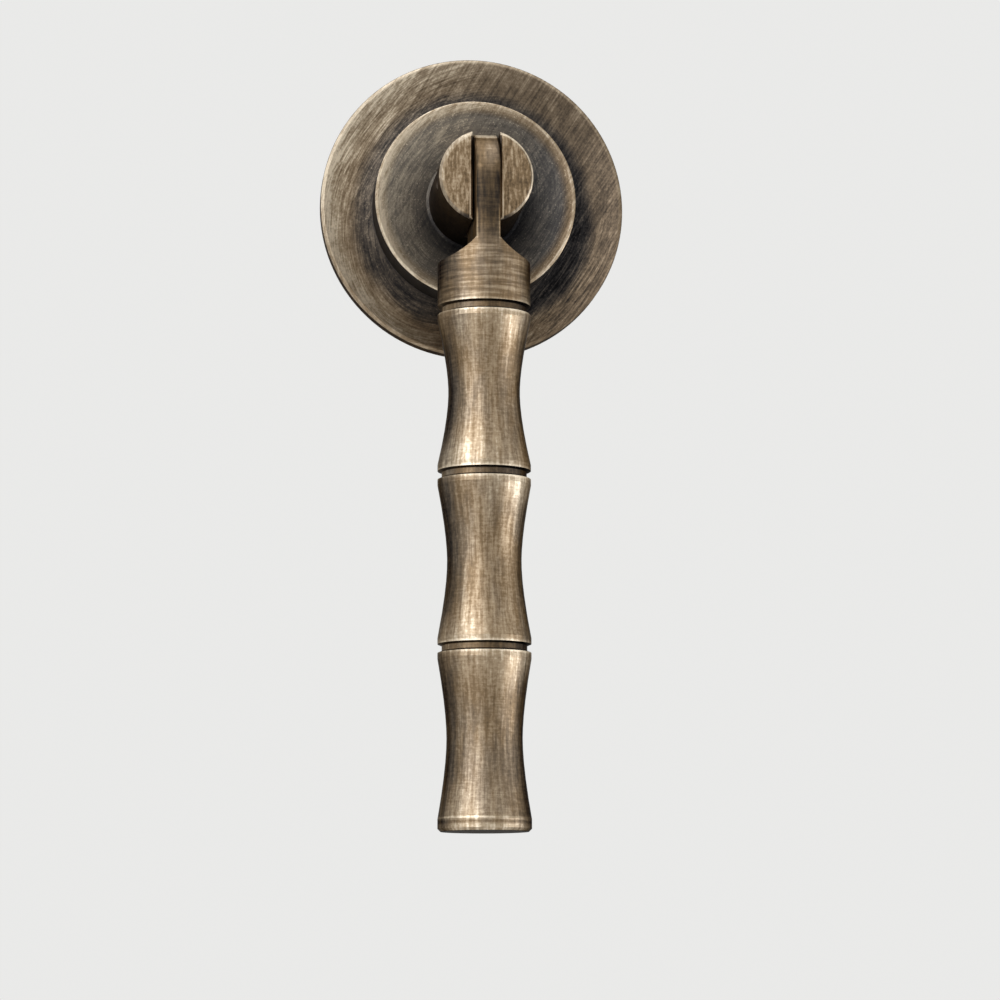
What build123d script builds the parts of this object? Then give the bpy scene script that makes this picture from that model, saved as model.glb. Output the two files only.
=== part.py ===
from build123d import *
import math
import os

# A bamboo drop pull for a drawer, in millimetres.
# The back face lies in the XZ plane at Y = 0, the front looks along -Y and +Z is up.
# The origin is on the back face, at the axis of the post and of its fixing hole.

# Backplate: thicknesses and reaches are measured out from the back face
plate_d = 38.0
plate_edge_t = 2.0
plate_edge_break = 0.3
plate_edge_flat = 0.15
outer_dish_t = 1.2
outer_dish_sag = 0.42
tier_d = 25.0
tier_rim_reach = 6.4
tier_rim_break = 0.15
tier_rim_flat = 0.2
inner_floor_t = 4.9
seat_margin = 0.35
relief_wall = 1.6
relief_roof = 1.9
boss_wall = 2.2

# Slotted post
post_d = 11.4
post_reach = 19.5
post_edge_break = 0.35
slot_edge_break = 0.2
spigot_d = 6.0
spigot_clearance = 0.05
spigot_short = 0.2
tapped_hole_d = 3.3
tapped_hole_depth = 6.0
drill_point_angle = 118.0
slot_w = 3.4
slot_floor_gap = 1.2

# Hinge pin
pin_d = 2.4
pin_setback = 3.4
pin_recess = 0.1
pin_end_break = 0.2
pin_clearance = 0.05

# Drop handle: heights are measured down from the pin
# Each flare is an arc whose lowest point lies flare_out beside the middle and flare_low below the pin
bar_d = 11.2
tongue_t = 2.9
tongue_edge_break = 0.15
flare_r = 7.25
flare_out = 6.9
flare_low = 10.4
first_groove = 16.0
groove_w = 1.05
groove_floor_w = 0.65
groove_depth = 0.5
ring_lip_h = 0.72
cane_1 = 20.0
cane_2 = 20.8
cane_3 = 21.7
waist_1_d = 8.6
waist_2_d = 8.9
waist_3_d = 9.05
waist_share = 0.5
waist_hold = 0.35
foot_band_h = 1.45
foot_break = 0.35

# How far a cutting shape runs past what it cuts, and how near two places count as the same
overcut = 1.0
same_place = 1e-4

os.makedirs("parts", exist_ok=True)

plate_r = plate_d / 2
tier_r = tier_d / 2
post_r = post_d / 2
spigot_r = spigot_d / 2
tapped_hole_r = tapped_hole_d / 2
pin_r = pin_d / 2
bar_r = bar_d / 2
pin_reach = post_reach - pin_setback

# Half sections of the backplate and the post: across is the radius, up is the way out from the back face
half_section = Plane(origin=(0, 0, 0), x_dir=(1, 0, 0), z_dir=(0, 0, -1))

# Front view of the handle, through the pin: across is the radius, up is the height above the pin
handle_front = Plane.XZ.offset(pin_reach)
handle_axis = Axis((0, -pin_reach, 0), (0, 0, 1))

# Side view through the pin: across is the way back, up is the height above the pin
side_view = Plane(origin=(0, -pin_reach, 0), x_dir=(0, 1, 0), z_dir=(1, 0, 0))


def rings_of(part, radius, reach):
    """The round edges of one radius that lie at one reach out from the back face."""
    return part.edges().filter_by(
        lambda edge: edge.geom_type == GeomType.CIRCLE
        and abs(edge.radius - radius) < same_place
        and abs(edge.center().Y + reach) < same_place
    )


# Backplate: one turned rose with a dished outer tier round a raised inner one, relieved behind
hole_r = spigot_r + spigot_clearance
boss_r = hole_r + boss_wall
relief_r = tier_r - relief_wall
relief_depth = inner_floor_t - relief_roof
seat_r = post_r + seat_margin
dish_edge_r = plate_r - plate_edge_break - plate_edge_flat
tier_lip_r = tier_r - tier_rim_break - tier_rim_flat

with BuildPart() as backplate:
    with BuildSketch(half_section):
        with BuildLine():
            back = Polyline(
                (hole_r, inner_floor_t),
                (hole_r, 0),
                (boss_r, 0),
                (boss_r, relief_depth),
                (relief_r, relief_depth),
                (relief_r, 0),
                (plate_r, 0),
                (plate_r, plate_edge_t),
                (dish_edge_r, plate_edge_t),
            )
            outer_dish = SagittaArc(back @ 1, (tier_r, outer_dish_t), outer_dish_sag)
            step = Polyline(
                outer_dish @ 1,
                (tier_r, tier_rim_reach),
                (tier_lip_r, tier_rim_reach),
            )
            Polyline(step @ 1, (seat_r, inner_floor_t), back @ 0)
        make_face()
    revolve(axis=Axis.Y)
    chamfer(rings_of(backplate, plate_r, plate_edge_t), length=plate_edge_break)
    chamfer(rings_of(backplate, tier_r, tier_rim_reach), length=tier_rim_break)
backplate.part.label = "backplate"
export_step(backplate.part, "parts/backplate.step")


# Slotted post: a round bar with a tapped rear end, a spigot that centres it and a slot for the tongue
drill_point_h = tapped_hole_r / math.tan(math.radians(drill_point_angle / 2))
slot_floor_reach = pin_reach - bar_r - slot_floor_gap
slot_depth = post_reach - slot_floor_reach

with BuildPart() as slotted_post:
    with BuildSketch(half_section):
        with BuildLine():
            Polyline(
                (0, spigot_short + tapped_hole_depth + drill_point_h),
                (tapped_hole_r, spigot_short + tapped_hole_depth),
                (tapped_hole_r, spigot_short),
                (spigot_r, spigot_short),
                (spigot_r, inner_floor_t),
                (post_r, inner_floor_t),
                (post_r, post_reach),
                (0, post_reach),
                close=True,
            )
        make_face()
    revolve(axis=Axis.Y)
    chamfer(rings_of(slotted_post, post_r, post_reach), length=post_edge_break)
    with BuildSketch(Plane.XZ.offset(post_reach)):
        Rectangle(slot_w, post_d + overcut)
    extrude(amount=-slot_depth, mode=Mode.SUBTRACT)
    slot_lips = slotted_post.edges().filter_by(
        lambda edge: edge.geom_type == GeomType.LINE
        and abs(edge.center().Y + post_reach) < same_place
        and abs(abs(edge.center().X) - slot_w / 2) < same_place
    )
    chamfer(slot_lips, length=slot_edge_break)
    with BuildSketch(side_view):
        Circle(pin_r)
    extrude(amount=post_d, both=True, mode=Mode.SUBTRACT)
slotted_post.part.label = "slotted_post"
export_step(slotted_post.part, "parts/slotted_post.step")


# Hinge pin: pressed through both ears, its ends just under the post's round sides
pin_length = 2 * (math.sqrt(post_r**2 - pin_r**2) - pin_recess)

with BuildPart() as hinge_pin:
    with BuildSketch(side_view.offset(-pin_length / 2)):
        Circle(pin_r)
    extrude(amount=pin_length)
    chamfer(hinge_pin.edges().filter_by(GeomType.CIRCLE), length=pin_end_break)
hinge_pin.part.label = "hinge_pin"
export_step(hinge_pin.part, "parts/hinge_pin.step")


# Drop handle: one bar turned to a bamboo outline, its upper end milled to a flat round-ended tongue
grooves = [-first_groove, -first_groove - cane_1, -first_groove - cane_1 - cane_2]
foot_z = grooves[-1] - cane_3
ring_half = groove_w / 2 + ring_lip_h


def grooved_ring(groove_z):
    """Two straight lips with a sloping-sided groove between them."""
    floor_r = bar_r - groove_depth
    Polyline(
        (bar_r, groove_z + ring_half),
        (bar_r, groove_z + groove_w / 2),
        (floor_r, groove_z + groove_floor_w / 2),
        (floor_r, groove_z - groove_floor_w / 2),
        (bar_r, groove_z - groove_w / 2),
        (bar_r, groove_z - ring_half),
    )


def cane(top, bottom, waist_d):
    """One waisted stretch: an easy curve draws in from each end, and the two meet upright at the waist."""
    waist_r = waist_d / 2
    waist_z = top + (bottom - top) * waist_share
    Bezier((bar_r, top), (waist_r, waist_z + (top - waist_z) * waist_hold), (waist_r, waist_z))
    Bezier((waist_r, waist_z), (waist_r, waist_z + (bottom - waist_z) * waist_hold), (bar_r, bottom))


foot_top = foot_z + foot_band_h
flare_sweep = math.asin((flare_out - tongue_t / 2) / flare_r)
flank_foot_z = -flare_low + flare_r * (1 - math.cos(flare_sweep))
cut_top = bar_r + overcut

with BuildPart() as drop_handle:
    with BuildSketch(handle_front):
        with BuildLine():
            Polyline((0, foot_z), (0, bar_r), (bar_r, bar_r), (bar_r, grooves[0] + ring_half))
            for groove_z in grooves:
                grooved_ring(groove_z)
            cane(grooves[0] - ring_half, grooves[1] + ring_half, waist_1_d)
            cane(grooves[1] - ring_half, grooves[2] + ring_half, waist_2_d)
            cane(grooves[2] - ring_half, foot_top, waist_3_d)
            Polyline(
                (bar_r, foot_top),
                (bar_r, foot_z + foot_break),
                (bar_r - foot_break, foot_z),
                (0, foot_z),
            )
        make_face()
    revolve(axis=handle_axis)
    # The flanks of the tongue, cut right through from front to back
    with BuildSketch(handle_front):
        with Locations((0, flank_foot_z)):
            Rectangle(2 * bar_d, cut_top - flank_foot_z, align=(Align.CENTER, Align.MIN))
            Rectangle(tongue_t, cut_top - flank_foot_z, align=(Align.CENTER, Align.MIN), mode=Mode.SUBTRACT)
    extrude(amount=bar_d, both=True, mode=Mode.SUBTRACT)
    # The full round end of the tongue, about the pin
    with BuildSketch(side_view):
        Rectangle(2 * cut_top, cut_top, align=(Align.CENTER, Align.MIN))
        Circle(bar_r, mode=Mode.SUBTRACT)
    extrude(amount=bar_d, both=True, mode=Mode.SUBTRACT)
    tongue_edges = drop_handle.edges().filter_by(
        lambda edge: abs(abs(edge.center().X) - tongue_t / 2) < same_place
        and edge.center().Z > flank_foot_z + same_place
    )
    chamfer(tongue_edges, length=tongue_edge_break)
    # The two flares that carry the flanks out to the bar
    with BuildSketch(handle_front):
        with BuildLine():
            flare = JernArc((flare_out, -flare_low), (-1, 0), flare_r, -math.degrees(flare_sweep))
            Polyline(
                flare @ 1,
                (flare_out + bar_d, flank_foot_z),
                (flare_out + bar_d, -flare_low),
                flare @ 0,
            )
        make_face()
        mirror(about=Plane.YZ)
    extrude(amount=bar_d, both=True, mode=Mode.SUBTRACT)
    with BuildSketch(side_view):
        Circle(pin_r + pin_clearance)
    extrude(amount=bar_d, both=True, mode=Mode.SUBTRACT)
drop_handle.part.label = "drop_handle"
export_step(drop_handle.part, "parts/drop_handle.step")
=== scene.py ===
import math

import bmesh
import bpy
from mathutils import Matrix, Vector


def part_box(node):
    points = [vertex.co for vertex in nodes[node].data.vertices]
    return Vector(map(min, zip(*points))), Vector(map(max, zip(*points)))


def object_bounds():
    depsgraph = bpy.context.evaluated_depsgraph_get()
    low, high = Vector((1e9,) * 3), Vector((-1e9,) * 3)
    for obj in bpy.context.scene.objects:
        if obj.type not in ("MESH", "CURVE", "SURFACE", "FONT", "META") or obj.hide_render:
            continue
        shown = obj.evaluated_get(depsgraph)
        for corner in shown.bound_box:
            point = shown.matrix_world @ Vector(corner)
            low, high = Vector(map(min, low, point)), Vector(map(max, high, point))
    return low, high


# Looks of a bamboo drop pull in brushed antique brass.
# Lengths are metres, and finishes work in millimetres of the part's own frame.

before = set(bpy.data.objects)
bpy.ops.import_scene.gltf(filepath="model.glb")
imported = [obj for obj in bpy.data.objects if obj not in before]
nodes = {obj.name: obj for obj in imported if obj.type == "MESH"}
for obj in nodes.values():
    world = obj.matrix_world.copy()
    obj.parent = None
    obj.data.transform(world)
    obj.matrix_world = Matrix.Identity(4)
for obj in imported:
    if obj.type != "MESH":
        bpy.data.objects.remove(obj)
cad_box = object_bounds()

mm = 0.001

# Places that the finishes follow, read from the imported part
rose_low, rose_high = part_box("backplate")
post_low, post_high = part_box("slotted_post")
pin_low, pin_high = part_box("hinge_pin")
handle_low, handle_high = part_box("drop_handle")
plate_r = rose_high.x / mm
rim_reach = -rose_low.y / mm
post_r = post_high.x / mm
face_reach = -post_low.y / mm
pin_reach = -(pin_low.y + pin_high.y) / 2 / mm
bar_r = handle_high.x / mm
foot_depth = -handle_low.z / mm

# Places on the rose and the post: the step, the bare rims, the relief behind and the slot.
# A point nearer to a face than face_skin belongs to it.
tier_r = 12.5
tier_rim_w = 0.35
plate_rim_w = 0.45
plate_rim_reach = 1.75
relief_r = 10.95
relief_roof_reach = 3.05
slot_half = 1.7
face_skin = 0.04

# Places on the handle, as depths below the pin, and half widths of its grooves, lips and tongue
grooves = (16.0, 36.0, 56.8)
groove_half = 0.525
lip_half = 1.245
foot_band_h = 1.45
tongue_half = 1.45
tongue_foot = 8.0
flare_foot = 10.5
last_cane_full = 68.0

# How much the painted glint just below each ring leans towards the right side
ring_glint_leans = (0.03, 0.15, 0.08)

# Brush strokes on the rose: their slant in degrees, how far the turned ones are pulled towards it,
# and the width of the easy bend where they cross the slanted line through the middle
brush_slant = 57.0
brush_lean = 0.4
brush_bend = 7.0

# Another place in the noise, so that a second set of strokes doesn't repeat the first
second_layer = 9.0

# The part of the noise's range that is spread out to full strength
noise_low = 0.3
noise_high = 0.7

# How rough the metal is in its patina, and how much smoother it gets where it is rubbed
patina_roughness = 0.46
rubbed_smoothing = -0.12

# Camera: where it looks, from where, and the photograph's slight roll
camera_target = Vector((3.09, -5.0, -37.39)) * mm
camera_distance = 420 * mm
camera_azimuth = -6.13
camera_elevation = -7.82
camera_roll = -0.12
camera_lens = 122.9
sensor_width = 36.0

# The lamps' colour, a slightly cool daylight
daylight = (0.94, 0.97, 1.05)

# Tones by wear, from 0 in the black patina to 1 on bare rubbed edges, as red, green and blue to 255
brass_tones = (
    (0.0, (24, 22, 22)),
    (0.2, (56, 49, 42)),
    (0.4, (92, 77, 59)),
    (0.6, (128, 107, 81)),
    (0.8, (173, 153, 126)),
    (1.0, (233, 217, 192)),
)
slate_tones = (
    (0.0, (20, 20, 22)),
    (0.2, (45, 45, 47)),
    (0.45, (82, 79, 76)),
    (0.7, (132, 124, 113)),
    (1.0, (220, 206, 182)),
)
edge_tint = (0.35, 0.33, 0.31, 1)


def tone(rgb):
    """A colour from 0 to 255 as Blender's linear colour."""
    linear = [(v / 255 / 12.92) if v < 10.3 else ((v / 255 + 0.055) / 1.055) ** 2.4 for v in rgb]
    return (*linear, 1.0)


class Finish:
    """A brass finish being wired: one material, its metal shader and short ways to add nodes."""

    def __init__(self, name):
        self.material = bpy.data.materials.new(name)
        self.material.use_nodes = True
        self.tree = self.material.node_tree
        self.tree.nodes.clear()
        output = self.tree.nodes.new("ShaderNodeOutputMaterial")
        self.metal = self.tree.nodes.new("ShaderNodeBsdfPrincipled")
        self.metal.inputs["Metallic"].default_value = 1.0
        self.metal.inputs["Specular Tint"].default_value = edge_tint
        self.wire(self.metal.outputs["BSDF"], output.inputs["Surface"])
        self.coordinates = self.tree.nodes.new("ShaderNodeTexCoord")

    def wire(self, source, socket):
        self.tree.links.new(source, socket)

    def feed(self, socket, value):
        """Puts a constant or another node's output into a socket."""
        if isinstance(value, bpy.types.NodeSocket):
            self.wire(value, socket)
        else:
            socket.default_value = value

    def place(self, reach=0.0):
        """Object coordinates in millimetres, measured from a point that far out from the back face."""
        mapping = self.tree.nodes.new("ShaderNodeMapping")
        mapping.inputs["Scale"].default_value = (1 / mm,) * 3
        mapping.inputs["Location"].default_value = (0, reach, 0)
        self.wire(self.coordinates.outputs["Object"], mapping.inputs["Vector"])
        return mapping.outputs["Vector"]

    def math(self, operation, a, b=0.0, c=0.0):
        node = self.tree.nodes.new("ShaderNodeMath")
        node.operation = operation
        for socket, value in zip(node.inputs, (a, b, c)):
            self.feed(socket, value)
        return node.outputs[0]

    def above(self, value, limit):
        """1 above the limit and 0 below it."""
        return self.math("GREATER_THAN", value, limit)

    def below(self, value, limit):
        """1 below the limit and 0 above it."""
        return self.math("LESS_THAN", value, limit)

    def both(self, *shares):
        """The product of its values, such as shares from 0 to 1, or a pattern and its share."""
        result = shares[0]
        for share in shares[1:]:
            result = self.math("MULTIPLY", result, share)
        return result

    def total(self, start, *terms):
        """A start plus pairs of a value and its weight."""
        result = start
        for value, weight in terms:
            result = self.math("MULTIPLY_ADD", value, weight, result)
        return result

    def mix(self, share, a, b):
        """Value a where the share is 0, value b where it is 1."""
        node = self.tree.nodes.new("ShaderNodeMix")
        self.feed(node.inputs["Factor"], share)
        self.feed(node.inputs[2], a)
        self.feed(node.inputs[3], b)
        return node.outputs[0]

    def span(self, value, low, high):
        """0 at low, 1 at high and a smooth step between them."""
        node = self.tree.nodes.new("ShaderNodeMapRange")
        node.interpolation_type = "SMOOTHSTEP"
        self.feed(node.inputs["Value"], value)
        node.inputs["From Min"].default_value = low
        node.inputs["From Max"].default_value = high
        return node.outputs["Result"]

    def vector_math(self, operation, a, b=(0, 0, 0)):
        node = self.tree.nodes.new("ShaderNodeVectorMath")
        node.operation = operation
        self.feed(node.inputs[0], a)
        self.feed(node.inputs[1], b)
        return node.outputs["Value" if operation == "LENGTH" else "Vector"]

    def split(self, vector):
        node = self.tree.nodes.new("ShaderNodeSeparateXYZ")
        self.wire(vector, node.inputs[0])
        return node.outputs["X"], node.outputs["Y"], node.outputs["Z"]

    def join(self, x=0.0, y=0.0, z=0.0):
        node = self.tree.nodes.new("ShaderNodeCombineXYZ")
        for socket, value in zip(node.inputs, (x, y, z)):
            self.feed(socket, value)
        return node.outputs[0]

    def grain(self, x, y, z, per_x, per_y, per_z):
        """Noise from -0.5 to 0.5, with its own number of cells along each of three coordinates."""
        node = self.tree.nodes.new("ShaderNodeTexNoise")
        node.inputs["Scale"].default_value = 1.0
        node.inputs["Detail"].default_value = 3.0
        node.inputs["Roughness"].default_value = 0.6
        stretched = self.vector_math("MULTIPLY", self.join(x, y, z), (per_x, per_y, per_z))
        self.wire(stretched, node.inputs["Vector"])
        return self.math("SUBTRACT", self.span(node.outputs["Fac"], noise_low, noise_high), 0.5)

    def tones(self, wear, table):
        """The colour of a table of tones at this wear."""
        node = self.tree.nodes.new("ShaderNodeValToRGB")
        elements = node.color_ramp.elements
        while len(elements) < len(table):
            elements.new(0.5)
        for element, (place, rgb) in zip(elements, table):
            element.position = place
            element.color = tone(rgb)
        self.wire(wear, node.inputs["Fac"])
        return node.outputs["Color"]

    def colour(self, wear, slate=0.0):
        """Brass by its wear, cooled to slate by the slate share, and smoother where it is rubbed."""
        node = self.tree.nodes.new("ShaderNodeMix")
        node.data_type = "RGBA"
        self.feed(node.inputs["Factor"], slate)
        self.wire(self.tones(wear, brass_tones), node.inputs[6])
        self.wire(self.tones(wear, slate_tones), node.inputs[7])
        self.wire(node.outputs[2], self.metal.inputs["Base Color"])
        self.wire(self.total(patina_roughness, (wear, rubbed_smoothing)), self.metal.inputs["Roughness"])

    def brush(self, tangent, stretch):
        """Highlights drawn out along a tangent that lies across the scratches."""
        self.metal.inputs["Anisotropic"].default_value = stretch
        self.wire(tangent, self.metal.inputs["Tangent"])

    def bump(self, height, depth):
        """Fine relief, its depth in millimetres."""
        node = self.tree.nodes.new("ShaderNodeBump")
        node.inputs["Strength"].default_value = 0.5
        node.inputs["Distance"].default_value = depth * mm
        self.wire(height, node.inputs["Height"])
        self.wire(node.outputs["Normal"], self.metal.inputs["Normal"])


def rose_finish():
    """Turned and slanted strokes, slate patina inside, charcoal by the step, rubbed brass at the rims."""
    finish = Finish("rose_antique_brass")
    x, y, z = finish.split(finish.place())
    reach = finish.math("MULTIPLY", y, -1.0)
    flat = finish.join(x, 0.0, z)
    radius = finish.vector_math("LENGTH", flat)
    outward = finish.vector_math("NORMALIZE", flat)
    cosine, _, sine = finish.split(outward)

    # Turned strokes, pulled a little towards one slant, fade out at the upper right.
    # Straight slanted strokes fade out at the lower left, where the turned ones are left alone.
    slant = math.radians(brush_slant)
    aside = finish.total(0.0, (x, math.sin(slant)), (z, -math.cos(slant)))
    along = finish.total(0.0, (x, math.cos(slant)), (z, math.sin(slant)))
    pull = finish.math("SQRT", finish.math("MULTIPLY_ADD", aside, aside, brush_bend**2))
    track = finish.math("MULTIPLY_ADD", pull, brush_lean, radius)
    strokes = finish.grain(cosine, sine, track, 3.6, 3.6, 2.4)
    hairs = finish.grain(cosine, sine, track, 4.8, 4.8, 5.0)
    mottle = finish.grain(x, y, z, 0.55, 0.55, 0.55)
    specks = finish.grain(x, y, z, 3.4, 3.4, 3.4)
    to_upper_right = finish.total(x, (z, 1.0))
    lines = finish.total(
        0.0,
        (finish.grain(aside, along, 0.0, 2.2, 0.07, 1.0), 0.3),
        (finish.grain(aside, along, second_layer, 4.4, 0.12, 1.0), 0.26),
    )
    brushed = finish.both(lines, finish.span(to_upper_right, -20.0, -9.0))
    turned = finish.total(0.0, (strokes, 0.28), (hairs, 0.34))
    turned = finish.both(turned, finish.span(to_upper_right, 25.0, 9.0))
    scratches = finish.total(turned, (brushed, 1.0), (specks, 0.22), (mottle, 0.24))

    # The outer tier: charcoal patina by the step, reaching wider and darker below it as a painted shadow of
    # the inner tier, brown and then golden towards the rim
    low = finish.span(z, 4.0, -9.0)
    step_patina_and_shadow = finish.span(finish.total(radius, (low, -1.0)), tier_r + 3.2, tier_r + 0.9)
    outer = finish.total(0.585, (step_patina_and_shadow, -0.27), (finish.both(step_patina_and_shadow, low), -0.06))
    # Painted light: the outer tier lighter on the left and a little at the top, and its rim golden on the
    # left and a little darker at the bottom
    outer = finish.total(outer, (cosine, -0.13), (sine, 0.02))
    by_rim = finish.span(radius, plate_r - 3.2, plate_r - 0.6)
    rim_wear_and_painted_light = finish.total(0.13, (cosine, -0.11), (low, -0.02))
    outer = finish.total(outer, (scratches, 0.58), (by_rim, rim_wear_and_painted_light))

    # The inner tier: slate, with a painted shadow around the post that is darkest below it, and a tan band
    # inside its rim
    on_inner = finish.below(radius, tier_r - 0.02)
    band = finish.span(radius, tier_r - 1.9, tier_r - 0.6)
    post_shadow = finish.span(radius, post_r + 3.2, post_r)
    # The tan band is lighter on its left as a painted highlight
    band_wear = finish.total(0.09, (cosine, -0.06))
    by_lip = finish.span(radius, tier_r - 1.2, tier_r - 0.5)
    inner = finish.total(0.615, (band, band_wear), (by_lip, 0.11))
    inner = finish.total(inner, (post_shadow, -0.1), (finish.both(post_shadow, low), -0.34))
    # Painted light: the inner tier lighter on the left and a little at the top
    inner = finish.total(inner, (cosine, -0.15), (sine, 0.03), (scratches, 0.32))
    wear = finish.mix(on_inner, outer, inner)

    # Small pale nicks, all over the inner tier and by the step on the outer one
    nicks = finish.span(finish.grain(x, y, z, 5.0, 5.0, 5.0), 0.36, 0.5)
    wear = finish.total(wear, (finish.both(nicks, finish.mix(on_inner, step_patina_and_shadow, 1.0)), 0.22))
    # The charcoal share is smaller on the left, where the painted light is, and towards the bottom
    charcoal = finish.total(0.28, (step_patina_and_shadow, 0.44), (cosine, 0.08), (sine, 0.08))
    slate = finish.mix(on_inner, charcoal, finish.total(1.0, (band, -0.85)))

    # Rims rubbed bare, with painted shade low on the plate's rim and painted light on the left of both
    # rims, and the step's wall and the plate's edge left dark
    plate_rim = finish.both(
        finish.span(radius, plate_r - plate_rim_w - 0.15, plate_r - plate_rim_w + 0.1),
        finish.above(reach, plate_rim_reach),
    )
    tier_rim = finish.both(
        on_inner,
        finish.span(radius, tier_r - tier_rim_w - 0.2, tier_r - tier_rim_w + 0.05),
        finish.above(reach, rim_reach - 0.3),
    )
    wall = finish.both(
        finish.math("COMPARE", radius, tier_r, face_skin),
        finish.below(reach, rim_reach - 0.3),
    )
    side = finish.both(finish.above(radius, plate_r - face_skin), finish.below(reach, plate_rim_reach))
    # Painted shade low on the plate's rim, painted light on the left of both rims
    wear = finish.mix(plate_rim, wear, finish.total(0.82, (low, -0.18), (cosine, -0.14), (scratches, 0.4)))
    wear = finish.mix(tier_rim, wear, finish.total(0.85, (cosine, -0.05), (scratches, 0.4)))
    wear = finish.mix(wall, wear, finish.total(0.36, (scratches, 0.2)))
    slate = finish.mix(wall, slate, 0.8)
    wear = finish.mix(side, wear, finish.total(0.26, (scratches, 0.2)))

    # The back face and the relief behind it, as they left the lathe
    behind = finish.both(
        finish.below(reach, relief_roof_reach),
        finish.mix(finish.below(radius, relief_r), finish.below(reach, face_skin), 1.0),
    )
    wear = finish.mix(behind, wear, finish.total(0.44, (scratches, 0.3)))
    slate = finish.mix(behind, slate, 0.5)
    finish.colour(wear, slate)

    # On the wall and the plate's edge, which face outwards, the tangent is turned off the normal
    finish.brush(finish.join(cosine, finish.total(wall, (side, 1.0)), sine), 0.6)
    finish.bump(scratches, 0.01)
    return finish.material


def handle_finish():
    """Lengthwise streaks and faint turning lines on the bamboo bar, with rubbed lips and dark grooves."""
    finish = Finish("handle_antique_brass")
    x, y, z = finish.split(finish.place(pin_reach))
    outward = finish.vector_math("NORMALIZE", finish.join(x, y, 0.0))
    cosine, sine, _ = finish.split(outward)
    depth = finish.math("MULTIPLY", z, -1.0)
    broad = finish.grain(cosine, sine, z, 8.0, 8.0, 0.14)
    streaks = finish.grain(cosine, sine, z, 20.0, 20.0, 0.35)
    turned = finish.grain(cosine, sine, z, 3.0, 3.0, 4.5)
    specks = finish.grain(x, y, z, 2.6, 2.6, 2.6)
    round_bar = finish.total(0.0, (broad, 0.42), (streaks, 0.28), (turned, 0.2), (specks, 0.28))

    # The flat tongue has plain upright strokes of its own
    on_tongue = finish.span(depth, tongue_foot + 0.8, tongue_foot - 1.0)
    flat_tongue = finish.total(0.0, (finish.grain(x, y, z, 2.0, 0.8, 0.3), 0.7), (specks, 0.3))
    scratches = finish.mix(on_tongue, round_bar, flat_tongue)

    # The cutter's marks on the two flares run from front to back
    radius = finish.vector_math("LENGTH", finish.join(x, y, 0.0))
    on_flare = finish.both(
        finish.below(radius, bar_r - face_skin),
        finish.above(depth, tongue_foot - 0.1),
        finish.below(depth, flare_foot),
    )
    milled = finish.total(0.0, (finish.grain(x, y, z, 3.0, 0.3, 3.0), 0.7), (specks, 0.3))
    scratches = finish.mix(on_flare, scratches, milled)

    # Patina is rubbed off the front and the back and stays on both sides, most on the left one, deepened by
    # painted shade for the dark reflections at the bar's edges
    facing = finish.math("MULTIPLY_ADD", cosine, 0.04, finish.math("ABSOLUTE", sine))
    side_patina_and_shade = finish.both(finish.span(facing, 0.86, 0.26), finish.span(z, bar_r, -tongue_foot))
    wear = finish.total(0.665, (side_patina_and_shade, -0.35), (scratches, 0.4))

    # The collar shows its turning lines. Each cane has a painted highlight at its lower end, and the last
    # is darker with painted shade
    collar = finish.below(depth, grooves[0] - groove_half)
    lines = finish.grain(cosine, sine, z, 1.2, 1.2, 2.6)
    lines = finish.both(lines, finish.mix(on_tongue, 0.23, 0.12))
    collar_wear = finish.total(-0.04, (cosine, 0.02), (on_tongue, -0.08), (lines, 1.0), (scratches, -0.14))
    # Painted shade on the last cane, darker on its right
    last_cane = finish.total(-0.07, (cosine, -0.07))
    on_last_cane = finish.span(depth, grooves[2], last_cane_full)
    wear = finish.total(wear, (collar, collar_wear), (on_last_cane, last_cane))
    flares = [(groove - 7.5, groove - 1.6, groove) for groove in grooves[1:]]
    flares.append((foot_depth - 8.0, foot_depth - 2.5, foot_depth - foot_band_h))
    for start, full, end in flares:
        # A painted highlight on the lower end of each cane, brighter on the left
        rubbed = finish.both(finish.span(depth, start, full), finish.below(depth, end))
        wear = finish.total(wear, (rubbed, finish.total(0.1, (cosine, -0.1))))

    # Each ring: two lips with rubbed edges carrying a painted highlight, a dark groove of patina whose
    # floor has a painted reflection, lighter on the left, and a painted glint just below it, leaning to one
    # side
    for groove, lean in zip(grooves, ring_glint_leans):
        apart = finish.math("ABSOLUTE", finish.math("SUBTRACT", depth, groove))
        by_ring = finish.span(apart, 5.0, 1.2)
        lip = finish.below(apart, lip_half)
        # Rubbed lip edges with a painted highlight
        lip_edge_wear_and_highlight = finish.both(lip, finish.span(apart, groove_half + 0.4, groove_half))
        below_ring_glint = finish.both(finish.above(depth, groove), finish.span(apart, 6.0, 1.5))
        below_ring_glint_wear = finish.total(0.08, (cosine, lean))
        wear = finish.total(wear, (lip, 0.03), (lip_edge_wear_and_highlight, 0.2), (below_ring_glint, below_ring_glint_wear))
        # The painted side shade is lighter around each ring
        wear = finish.total(wear, (finish.both(by_ring, side_patina_and_shade), 0.16))
        # The groove's dark patina, with a painted reflection on its floor, lighter on the left
        floor = finish.span(apart, groove_half - 0.12, groove_half - 0.3)
        groove_patina_and_reflection = finish.total(0.24, (floor, 0.22), (cosine, -0.2), (scratches, 0.3))
        wear = finish.mix(finish.below(apart, groove_half), wear, groove_patina_and_reflection)

    # The tongue: a painted highlight at its top, tan down to the pin, a painted shadow where it lies in the
    # slot, and painted shade along its edges above their lighter low ends
    top = finish.both(on_tongue, finish.span(z, bar_r - 1.15, bar_r - 0.75))
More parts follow.
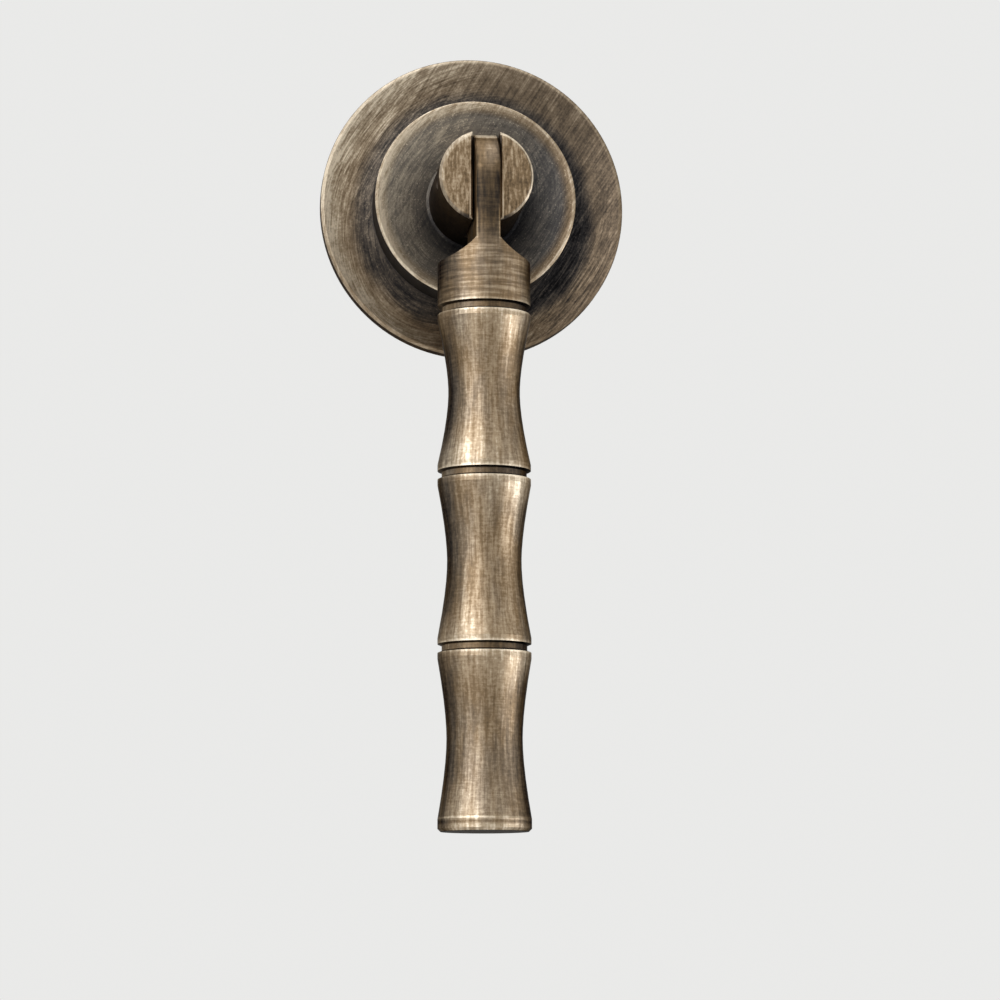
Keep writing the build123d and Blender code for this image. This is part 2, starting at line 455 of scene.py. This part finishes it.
    # A painted shadow on the tongue below the pin, where it lies in the slot
    slotted = finish.both(finish.span(z, 1.0, -1.0), finish.span(z, -6.0, -4.4))
    slotted = finish.total(0.0, (slotted, 0.12), (finish.span(z, 1.0, -1.0), 0.12))
    wear = finish.total(wear, (top, 0.44), (finish.both(on_tongue, slotted), -1.0))
    aside = finish.math("ABSOLUTE", x)
    edge_shade = finish.both(finish.span(aside, tongue_half - 0.6, tongue_half - 0.2), on_tongue)
    low_edge = finish.both(finish.above(aside, tongue_half - 0.2), finish.span(z, -3.5, -5.0), on_tongue)
    wear = finish.total(wear, (edge_shade, -0.12), (low_edge, 0.36))
    flank = finish.both(finish.below(depth, tongue_foot), finish.above(aside, tongue_half - face_skin))
    wear = finish.mix(flank, wear, finish.total(0.56, (scratches, 0.3)))

    # The foot: a rubbed band between two bare lines, with a painted shadow on its underside
    foot_top = foot_depth - foot_band_h
    from_top = finish.math("ABSOLUTE", finish.math("SUBTRACT", depth, foot_top))
    line = finish.span(from_top, 0.32, 0.12)
    band = finish.span(depth, foot_top + 0.4, foot_top + 0.75)
    wear = finish.total(wear, (line, 0.18), (band, 0.22))
    underside_shadow = finish.above(depth, foot_depth - face_skin)
    wear = finish.mix(underside_shadow, wear, finish.total(0.14, (scratches, 0.16)))
    patches = finish.grain(cosine, sine, z, 1.6, 1.6, 0.12)
    finish.colour(wear, finish.total(0.14, (side_patina_and_shade, 0.45), (patches, 0.5)))

    # The tangent runs up the bar, across its turning lines, tipped so as not to be square to the foot
    finish.brush(finish.join(0.05, 0.0, 1.0), 0.3)
    finish.bump(scratches, 0.008)
    return finish.material


def post_finish():
    """Upright strokes on the two ears of the post under painted light, bare round edges with painted
    highlights and shade, a side dulled with painted shade and a black slot.
    """
    finish = Finish("post_antique_brass")
    x, y, z = finish.split(finish.place())
    reach = finish.math("MULTIPLY", y, -1.0)
    radius = finish.vector_math("LENGTH", finish.join(x, 0.0, z))
    strokes = finish.grain(x, y, z, 3.0, 1.5, 0.6)
    specks = finish.grain(x, y, z, 2.2, 2.2, 2.2)
    scratches = finish.total(0.0, (strokes, 0.65), (specks, 0.35))

    # The round side, dulled with painted shade that deepens towards the rose, and the slot's walls
    side = finish.total(0.26, (finish.span(reach, face_reach - 8.0, face_reach), 0.14), (scratches, 0.26))
    inside = finish.below(radius, post_r - face_skin)
    wear = finish.mix(inside, side, finish.total(0.38, (scratches, 0.24)))

    # The two ears, with painted light: golden above and browner low on the right
    face = finish.above(reach, face_reach - face_skin)
    ears = finish.total(0.615, (z, 0.012), (x, -0.006), (scratches, 0.5))
    wear = finish.mix(face, wear, ears)

    # Bare edges: broad on the left and narrow on the right as a painted highlight, with painted shade at
    # their bottom, and a painted highlight on the slot's lips below the pin
    near_edge = finish.math("MULTIPLY_ADD", x, -0.04, radius)
    edge = finish.both(
        finish.span(near_edge, post_r - 0.55, post_r - 0.35),
        finish.above(reach, face_reach - 0.4),
    )
    # Painted shade at the bottom of the bare edges, which are a little lighter towards the top and the
    # right
    bare = finish.mix(finish.span(z, -4.3, -5.1), finish.total(0.82, (z, 0.02), (x, 0.01)), 0.3)
    wear = finish.mix(edge, wear, finish.total(bare, (scratches, 0.3)))
    # A painted highlight on the slot's lips below the pin
    lip = finish.both(
        finish.below(finish.math("ABSOLUTE", x), slot_half + 0.38),
        finish.above(reach, face_reach - 0.24),
        finish.span(z, 2.0, -3.0),
    )
    wear = finish.mix(finish.both(lip, 0.8), wear, 0.9)
    finish.colour(wear, finish.mix(face, 0.45, 0.0))

    # The tangent runs across the ears' strokes, tipped a little because the slot's walls face along it
    finish.brush(finish.join(1.0, 0.1, 0.0), 0.4)
    finish.bump(scratches, 0.008)
    return finish.material


def pin_finish():
    """Plain drawn brass with a dull patina on the pin's ends."""
    finish = Finish("pin_antique_brass")
    x, y, z = finish.split(finish.place(pin_reach))
    scratches = finish.grain(x, y, z, 2.5, 2.5, 2.5)
    finish.colour(finish.total(0.5, (scratches, 0.24)))
    finish.bump(scratches, 0.008)
    return finish.material


def dress(node, material):
    """Gives a CAD node its finish."""
    node.data.materials.clear()
    node.data.materials.append(material)


dress(nodes["backplate"], rose_finish())
dress(nodes["slotted_post"], post_finish())
dress(nodes["hinge_pin"], pin_finish())
dress(nodes["drop_handle"], handle_finish())


def pale_floor():
    """A plain pale floor, far enough below the hanging handle to catch only a soft shadow."""
    size = 6.0
    drop = 0.28
    shape = bmesh.new()
    bmesh.ops.create_grid(shape, x_segments=1, y_segments=1, size=size)
    bmesh.ops.translate(shape, verts=shape.verts, vec=(0, 0, -drop))
    mesh = bpy.data.meshes.new("studio_floor")
    shape.to_mesh(mesh)
    shape.free()
    floor = bpy.data.objects.new("studio_floor", mesh)
    bpy.context.scene.collection.objects.link(floor)
    paint = bpy.data.materials.new("studio_floor_paint")
    paint.use_nodes = True
    shader = paint.node_tree.nodes["Principled BSDF"]
    shader.inputs["Base Color"].default_value = (0.8, 0.8, 0.79, 1)
    shader.inputs["Roughness"].default_value = 0.9
    mesh.materials.append(paint)


def studio_world():
    """Pale surroundings for the camera and for reflections, with a gentler fill on everything else."""
    shown_strength = 1.0
    fill_strength = 0.7
    world = bpy.data.worlds.new("studio")
    bpy.context.scene.world = world
    world.use_nodes = True
    tree = world.node_tree
    sky = tree.nodes["Background"]
    sky.inputs["Color"].default_value = (0.82, 0.82, 0.81, 1)
    path = tree.nodes.new("ShaderNodeLightPath")
    seen = tree.nodes.new("ShaderNodeMath")
    seen.operation = "MAXIMUM"
    tree.links.new(path.outputs["Is Camera Ray"], seen.inputs[0])
    tree.links.new(path.outputs["Is Glossy Ray"], seen.inputs[1])
    shown = tree.nodes.new("ShaderNodeMath")
    shown.operation = "MAXIMUM"
    tree.links.new(seen.outputs[0], shown.inputs[0])
    tree.links.new(path.outputs["Is Transmission Ray"], shown.inputs[1])
    strength = tree.nodes.new("ShaderNodeMapRange")
    strength.inputs["To Min"].default_value = fill_strength
    strength.inputs["To Max"].default_value = shown_strength
    tree.links.new(shown.outputs[0], strength.inputs["Value"])
    tree.links.new(strength.outputs["Result"], sky.inputs["Strength"])


def softbox(name, azimuth, elevation, distance, width, height, radiance):
    """A soft rectangular lamp facing the pull. Azimuth 0 is straight in front and positive to the right."""
    lamp = bpy.data.lights.new(name, "AREA")
    lamp.shape = "RECTANGLE"
    lamp.size = width
    lamp.size_y = height
    lamp.energy = radiance * math.pi * width * height
    lamp.color = daylight
    holder = bpy.data.objects.new(name, lamp)
    bpy.context.scene.collection.objects.link(holder)
    a = math.radians(azimuth)
    e = math.radians(elevation)
    direction = Vector((math.sin(a) * math.cos(e), -math.cos(a) * math.cos(e), math.sin(e)))
    centre = (cad_box[0] + cad_box[1]) / 2
    holder.location = centre + direction * distance
    holder.rotation_mode = "QUATERNION"
    holder.rotation_quaternion = direction.to_track_quat("Z", "Y")


def studio_camera():
    """The photograph's view: slightly from the left and from below, with a long lens."""
    a = math.radians(camera_azimuth)
    e = math.radians(camera_elevation)
    r = math.radians(camera_roll)
    back = Vector((math.sin(a) * math.cos(e), -math.cos(a) * math.cos(e), math.sin(e)))
    level = Vector((math.cos(a), math.sin(a), 0))
    up = back.cross(level)
    right = math.cos(r) * level + math.sin(r) * up
    top = math.cos(r) * up - math.sin(r) * level
    camera = bpy.data.cameras.new("camera")
    camera.sensor_width = sensor_width
    camera.lens = camera_lens
    camera.clip_start = 0.01
    holder = bpy.data.objects.new("camera", camera)
    bpy.context.scene.collection.objects.link(holder)
    turn = Matrix((right, top, back)).transposed().to_4x4()
    holder.matrix_world = Matrix.Translation(camera_target + back * camera_distance) @ turn
    bpy.context.scene.camera = holder


pale_floor()
studio_world()
softbox("left_softbox", azimuth=-40, elevation=28, distance=0.9, width=0.9, height=1.0, radiance=1.8)
softbox("right_softbox", azimuth=72, elevation=-12, distance=0.9, width=0.8, height=0.36, radiance=3.24)
softbox("top_softbox", azimuth=0, elevation=78, distance=0.9, width=1.0, height=0.8, radiance=1.26)
studio_camera()

bpy.context.scene.view_settings.view_transform = "Standard"
